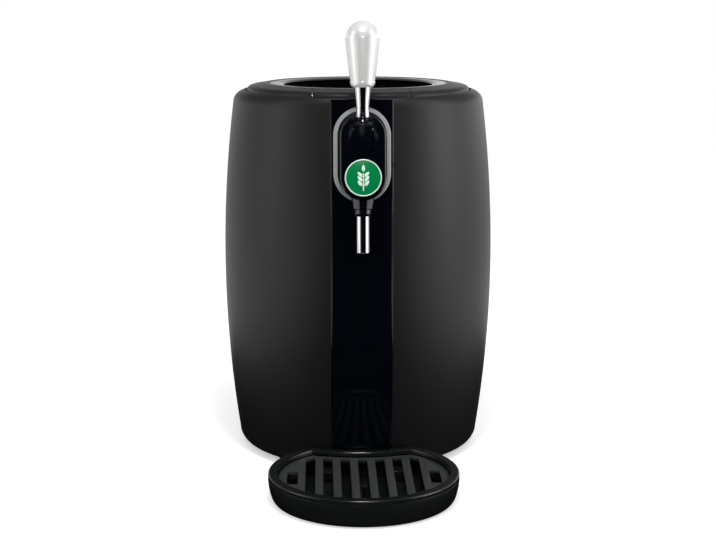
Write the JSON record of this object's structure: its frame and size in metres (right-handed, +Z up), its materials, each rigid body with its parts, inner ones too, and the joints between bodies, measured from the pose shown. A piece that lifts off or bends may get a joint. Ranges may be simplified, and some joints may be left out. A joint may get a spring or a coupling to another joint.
{
  "type": "mini keg beer dispenser",
  "caption": "Barrel-shaped countertop cooler for a five-litre mini keg, with a hinged lid, lever tap, chrome spout and slide-off drip tray with a slotted grille.",
  "frame": {"origin": "centre of the base of the whole object's box, on the surface it stands on", "axes": "+Z up, -Y the front with the tap and drip tray, +X to the right as seen from the front"},
  "size_m": [0.272, 0.4671, 0.4345],
  "materials": {
    "satin_black": "satin moulded black",
    "gloss_black": "deep gloss black",
    "black_base": "fine-textured black",
    "lid_gloss": "semi-gloss black",
    "tray_satin": "satin black with a soft sheen",
    "tray_gloss": "gloss black",
    "dark_metal": "satin grey metallic",
    "chrome": "polished",
    "satin_aluminium": "satin, fine bead-blast",
    "aluminium": "plain drawn",
    "steel": "zinc-plated",
    "rubber": "matt",
    "grey_plastic": "plain moulded grey",
    "foam": "expanded foam",
    "clear_hose": "translucent hose",
    "green_enamel": "gloss green",
    "pale_ring": "pale green, metallic",
    "ceramic_white": "plain",
    "board_green": "coated circuit board"
  },
  "bodies": {
    "cabinet": {"base_pan": "black_base", "rubber_feet": "rubber", "body_shell": "satin_black", "front_strip": "gloss_black", "tap_panel": "gloss_black", "top_collar": "grey_plastic", "well_liner": "grey_plastic", "cooling_cup": "aluminium", "foam_jacket": "foam", "foam_floor": "foam", "cup_stand": "grey_plastic", "hinge_bracket": "black_base", "hinge_pins": "steel", "tap_body": "gloss_black", "tap_face": "gloss_black", "tap_bezel": "dark_metal", "tap_backplate": "steel", "tap_screws": "steel", "badge_disc": "green_enamel", "badge_ring": "pale_ring", "spout_cone": "gloss_black", "spout_ring": "dark_metal", "spout_tube": "chrome", "beer_tube": "clear_hose", "inlet_fitting": "grey_plastic", "lever_pin": "steel", "slider_spring": "steel", "rear_housing": "satin_black", "rear_grille": "black_base", "cold_block": "aluminium", "cooling_module": "ceramic_white", "heat_sink": "aluminium", "sink_brackets": "steel", "fan_frame": "black_base", "control_board": "board_green", "board_posts": "grey_plastic", "power_supply": "steel", "temperature_probe": "steel", "power_inlet": "black_base", "switch_frame": "black_base"},
    "lid": {"lid_shell": "satin_black", "lid_dish": "lid_gloss", "lid_cover": "grey_plastic", "lid_plug": "foam", "lid_gasket": "rubber", "tab_pin": "steel"},
    "lid_tab": {"lid_tab": "satin_black"},
    "lever": {"lever_rocker": "gloss_black", "lever_stem": "chrome", "lever_handle": "satin_aluminium"},
    "slider": {"pinch_slider": "grey_plastic"},
    "tray": {"tray_bowl": "tray_satin", "tray_rim": "tray_gloss", "float_pin": "grey_plastic"},
    "grille": {"drip_grille": "tray_satin"},
    "fan": {"fan_rotor": "grey_plastic"},
    "switch_key": {"switch_rocker": "black_base"}
  },
  "joints": [
    {"name": "lid_hinge", "type": "hinge", "parent": "cabinet", "child": "lid", "pos_m": [0, 0.1355, 0.363], "axis": [-1, 0, 0], "range_deg": [0, 98]},
    {"name": "tab_press", "type": "hinge", "parent": "lid", "child": "lid_tab", "pos_m": [0, -0.0715, 0.364], "axis": [1, 0, 0], "range_deg": [0, 9], "stiffness_Nm_per_rad": 0.3, "springref_deg": -5.73},
    {"name": "lever_pull", "type": "hinge", "parent": "cabinet", "child": "lever", "pos_m": [0, -0.11963, 0.33774], "axis": [1, 0, 0], "range_deg": [0, 25], "stiffness_Nm_per_rad": 0.4, "springref_deg": -14.32},
    {"name": "slider_lift", "type": "slide", "parent": "cabinet", "child": "slider", "axis": [0, 0.1045, 0.9945], "range_m": [0, 0.0056], "deforming": ["slider_spring"]},
    {"name": "tray_slide", "type": "slide", "parent": "cabinet", "child": "tray", "axis": [0, -1, 0], "range_m": [0, 0.06]},
    {"name": "grille_lift", "type": "slide", "parent": "tray", "child": "grille", "axis": [0, 0, 1], "range_m": [0, 0.03]},
    {"name": "fan_spin", "type": "hinge", "parent": "cabinet", "child": "fan", "pos_m": [0, 0.1965, 0.19], "axis": [0, 1, 0], "continuous": true},
    {"name": "switch_tip", "type": "hinge", "parent": "cabinet", "child": "switch_key", "pos_m": [-0.036, 0.22416, 0.08], "axis": [1, 0, 0], "range_deg": [0, 18]}
  ],
  "couplings": [
    {"joint": "slider_lift", "follows": "lever_pull", "m_per_rad": 0.0125}
  ]
}
